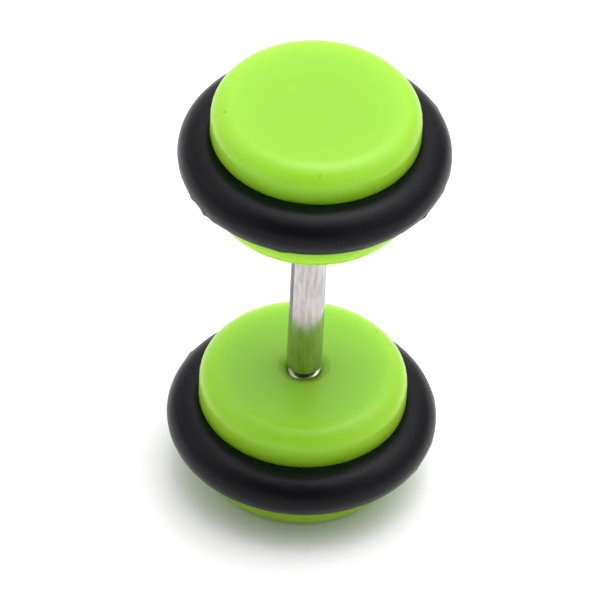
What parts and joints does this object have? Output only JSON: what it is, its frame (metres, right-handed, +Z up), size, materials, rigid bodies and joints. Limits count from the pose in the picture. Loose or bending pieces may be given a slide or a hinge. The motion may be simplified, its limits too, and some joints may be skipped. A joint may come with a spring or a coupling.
{
  "type": "fake plug stud earring",
  "caption": "Stud earring with the look of a stretched-ear plug: thick round acrylic discs with rubber rings round their rims, screwed together on a thin steel post.",
  "frame": {"origin": "middle of the back disc's flat outer face, on which the earring stands", "axes": "+Z up along the post, from the back disc to the front disc; the earring is round about it, so X and Y are free and +Y is away from the viewer in the picture"},
  "size_m": [0.0092, 0.0092, 0.0164],
  "materials": {
    "lime_acrylic": "glossy",
    "black_rubber": "satin",
    "surgical_steel": "polished"
  },
  "bodies": {
    "back": {"back_disc": "lime_acrylic", "back_oring": "black_rubber"},
    "front_ring": {"front_oring": "black_rubber"},
    "front": {"front_disc": "lime_acrylic", "ear_post": "surgical_steel"}
  },
  "joints": [
    {"name": "front_lift", "type": "slide", "parent": "back", "child": "front_ring", "axis": [0, 0, 1], "range_m": [0, 0.011]},
    {"name": "front_turn", "type": "hinge", "parent": "front_ring", "child": "front", "pos_m": [0, 0, 0.00445], "axis": [0, 0, 1], "range_deg": [0, 15841]}
  ],
  "couplings": [
    {"joint": "front_turn", "follows": "front_lift", "rad_per_m": 25133}
  ]
}
